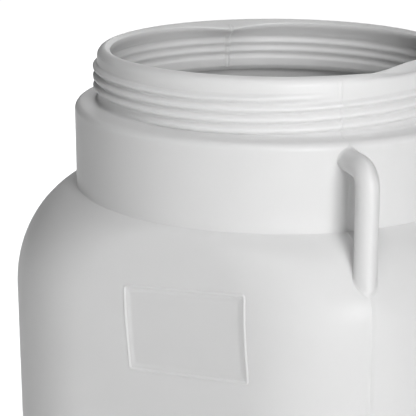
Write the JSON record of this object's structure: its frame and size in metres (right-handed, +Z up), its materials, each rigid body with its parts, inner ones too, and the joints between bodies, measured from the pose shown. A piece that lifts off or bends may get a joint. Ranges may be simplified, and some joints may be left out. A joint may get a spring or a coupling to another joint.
{
  "type": "fermentation barrel",
  "caption": "Square plastic fermentation barrel with a wide round threaded neck, a round collar, a framed side panel and loop handles on opposite corners.",
  "frame": {"origin": "centre of the base, on the floor, under the axis of the neck", "axes": "+Z up along the axis of the neck, -Y out of the face that carries the framed panel, +X to that face's right; the handles stand on the +X -Y corner and the -X +Y corner"},
  "size_m": [0.272, 0.2725, 0.37],
  "materials": {
    "barrel": "satin natural white polyethylene, faintly translucent"
  },
  "bodies": {
    "root": {"barrel": "barrel"}
  },
  "joints": []
}
